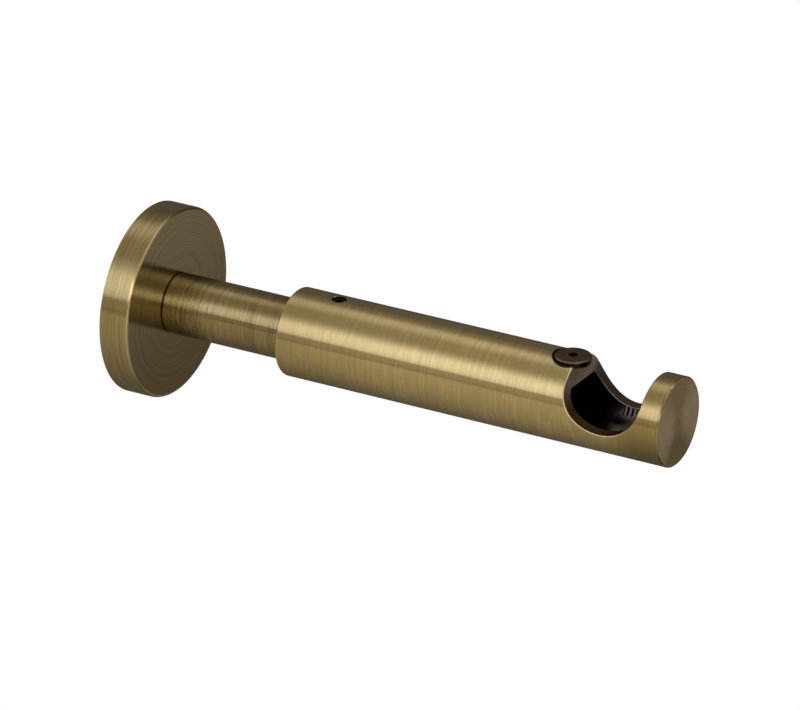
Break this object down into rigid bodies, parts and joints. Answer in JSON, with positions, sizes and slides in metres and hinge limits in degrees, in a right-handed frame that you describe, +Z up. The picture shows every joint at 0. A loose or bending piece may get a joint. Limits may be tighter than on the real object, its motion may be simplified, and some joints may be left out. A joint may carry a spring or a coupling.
{
  "type": "curtain pole bracket",
  "caption": "Telescopic wall bracket for a curtain pole: round rose, inner tube, sliding outer tube with a U-shaped cradle, a lock screw and a flat-headed pole screw.",
  "frame": {"origin": "middle of the rose on the wall plane, the centre of the wall screws' circle", "axes": "+Z up, +Y into the wall, the bracket stands out along -Y, the pole lies along X"},
  "size_m": [0.067, 0.2036, 0.067],
  "materials": {
    "antique_brass": "antique, brushed, lacquered",
    "zinc_plate": "bright zinc plated",
    "zinc_screw": "bright zinc plated",
    "black_screw": "black oxide",
    "bronze_screw": "dark bronze, satin"
  },
  "bodies": {
    "wall_base": {"rose": "antique_brass", "wall_plate": "zinc_plate", "wall_stud": "zinc_screw"},
    "inner_tube": {"stem": "antique_brass", "stem_plug": "zinc_plate"},
    "outer_tube": {"sleeve": "antique_brass"},
    "locking_screw": {"lock_screw": "black_screw"},
    "retaining_screw": {"pole_screw": "bronze_screw"}
  },
  "joints": [
    {"name": "stem_turn", "type": "hinge", "parent": "wall_base", "child": "inner_tube", "pos_m": [0, 0, 0], "axis": [0, 1, 0], "continuous": true},
    {"name": "sleeve_slide", "type": "slide", "parent": "inner_tube", "child": "outer_tube", "axis": [0, -1, 0], "range_m": [-0.04, 0.02]},
    {"name": "lock_screw_travel", "type": "slide", "parent": "outer_tube", "child": "locking_screw", "axis": [0, 0, 1], "range_m": [0, 0.003]},
    {"name": "pole_screw_travel", "type": "slide", "parent": "outer_tube", "child": "retaining_screw", "axis": [0, 0, 1], "range_m": [0, 0.006]}
  ]
}
